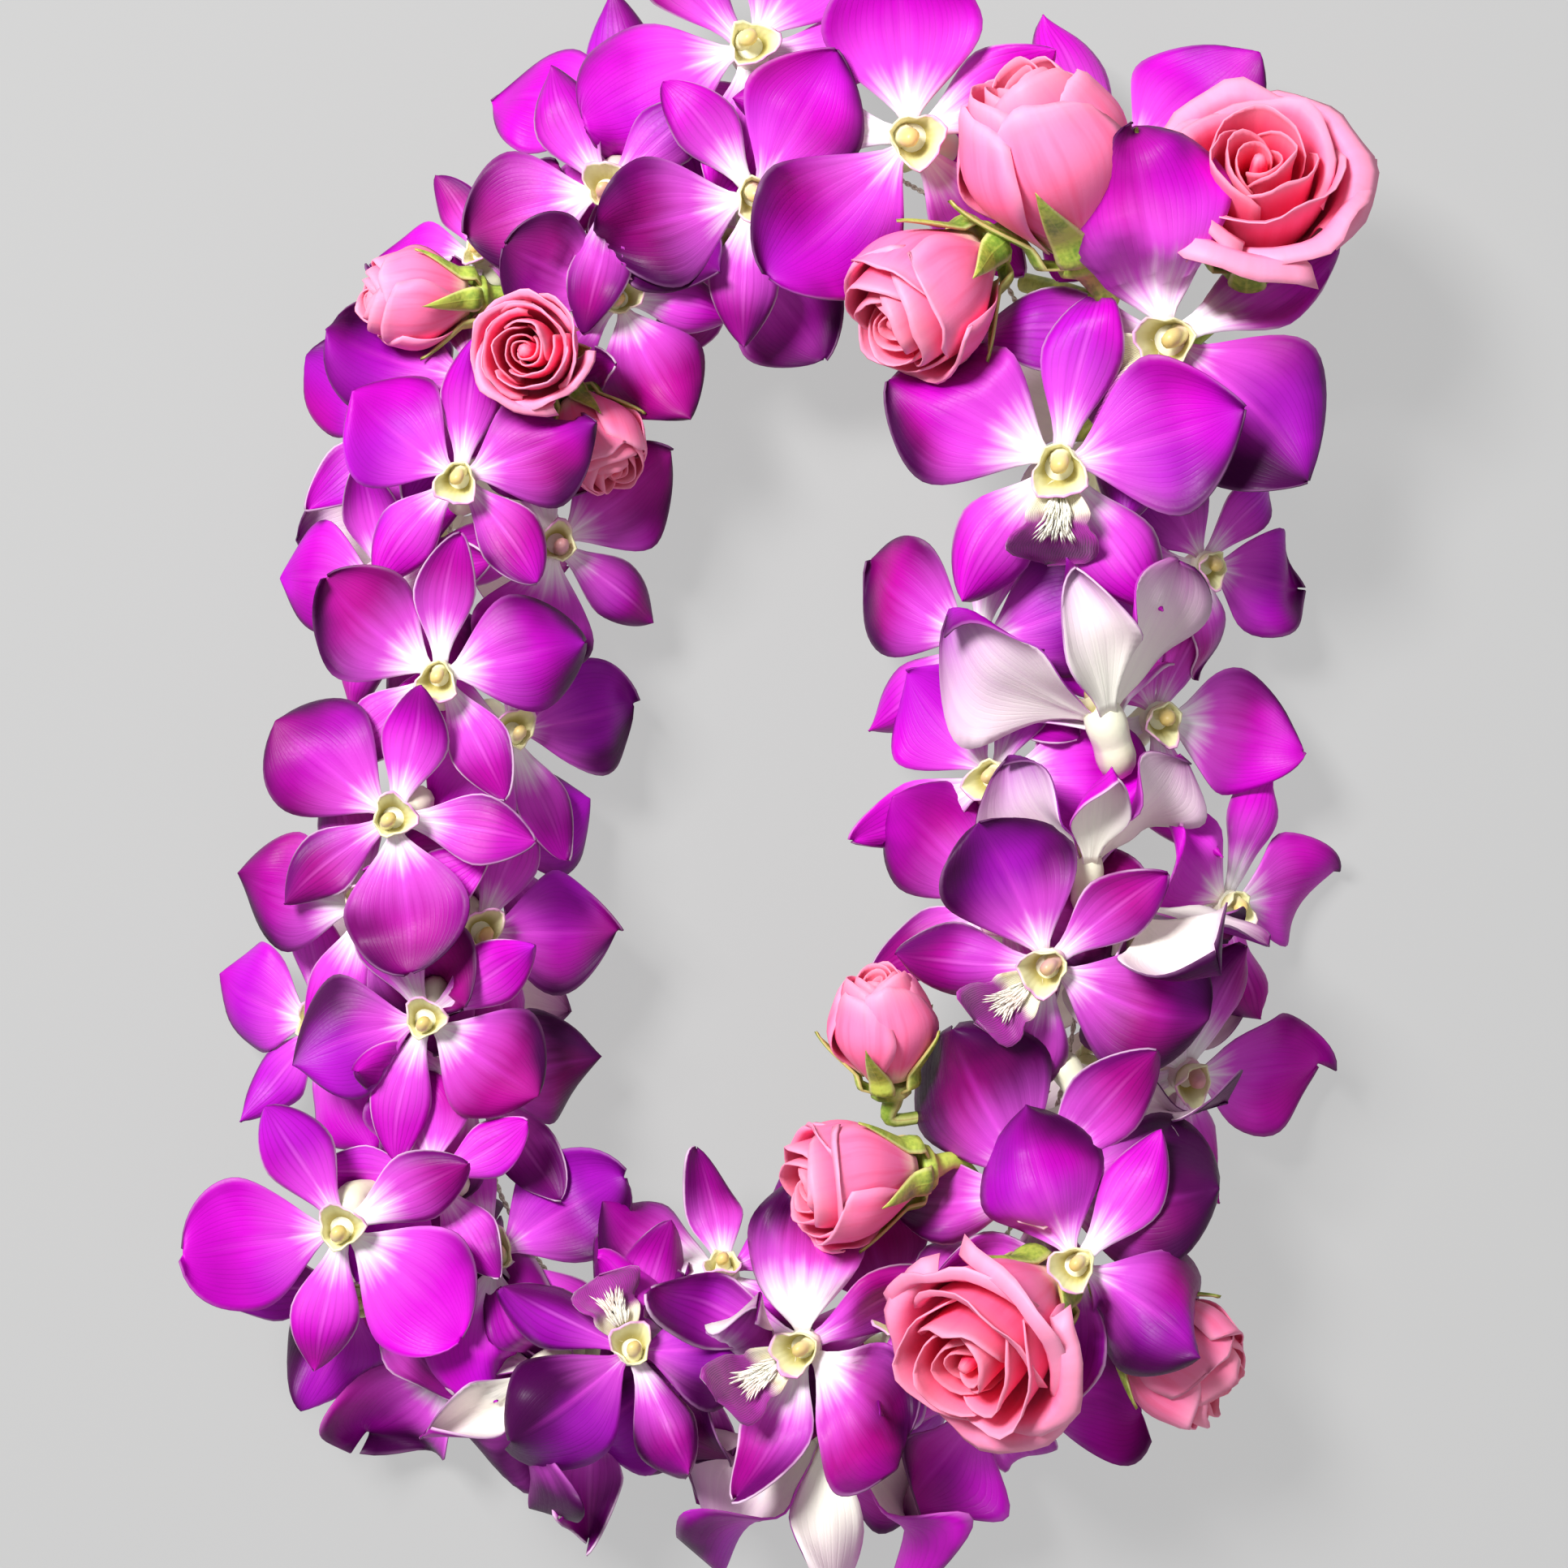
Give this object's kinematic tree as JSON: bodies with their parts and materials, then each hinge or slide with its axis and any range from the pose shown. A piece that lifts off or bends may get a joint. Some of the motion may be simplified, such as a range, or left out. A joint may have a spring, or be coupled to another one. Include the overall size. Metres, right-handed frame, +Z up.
{
  "type": "orchid and rose wreath",
  "caption": "Oval flower garland laid flat in a closed ring: magenta orchid blooms packed along a hidden string, with clusters of pink spray roses set between them.",
  "frame": {"origin": "middle of the footprint, on the surface that the wreath lies on", "axes": "+Z up out of the wreath's face, +Y along the ring's longer side, +X to the right of it seen from above"},
  "size_m": [0.2298, 0.3416, 0.0737],
  "materials": {
    "orchid_petals": "satin",
    "rose_petals": "matte",
    "rose_greens": "satin",
    "string": "matte"
  },
  "bodies": {
    "root": {"orchid_01": "orchid_petals", "orchid_02": "orchid_petals", "orchid_03": "orchid_petals", "orchid_05": "orchid_petals", "orchid_07": "orchid_petals", "orchid_08": "orchid_petals", "orchid_09": "orchid_petals", "orchid_11": "orchid_petals", "orchid_12": "orchid_petals", "orchid_13": "orchid_petals", "orchid_15": "orchid_petals", "orchid_16": "orchid_petals", "orchid_17": "orchid_petals", "orchid_19": "orchid_petals", "orchid_21": "orchid_petals", "orchid_22": "orchid_petals", "orchid_24": "orchid_petals", "orchid_26": "orchid_petals", "orchid_28": "orchid_petals", "orchid_29": "orchid_petals", "orchid_31": "orchid_petals", "orchid_33": "orchid_petals", "orchid_35": "orchid_petals", "orchid_36": "orchid_petals", "orchid_37": "orchid_petals", "orchid_39": "orchid_petals", "orchid_40": "orchid_petals", "orchid_41": "orchid_petals", "orchid_42": "orchid_petals", "orchid_43": "orchid_petals", "orchid_45": "orchid_petals", "orchid_48": "orchid_petals", "orchid_50": "orchid_petals", "orchid_51": "orchid_petals", "orchid_53": "orchid_petals", "orchid_54": "orchid_petals", "orchid_55": "orchid_petals", "orchid_56": "orchid_petals", "orchid_57": "orchid_petals", "rose_01_green": "rose_greens", "rose_01_head": "rose_petals", "rose_02_green": "rose_greens", "rose_02_head": "rose_petals", "rose_03_green": "rose_greens", "rose_03_head": "rose_petals", "rose_04_green": "rose_greens", "rose_04_head": "rose_petals", "rose_05_green": "rose_greens", "rose_05_head": "rose_petals", "rose_06_green": "rose_greens", "rose_06_head": "rose_petals", "rose_07_green": "rose_greens", "rose_07_head": "rose_petals", "rose_08_green": "rose_greens", "rose_08_head": "rose_petals", "rose_09_green": "rose_greens", "rose_09_head": "rose_petals", "rose_10_green": "rose_greens", "rose_10_head": "rose_petals", "string_loop": "string"}
  },
  "joints": []
}
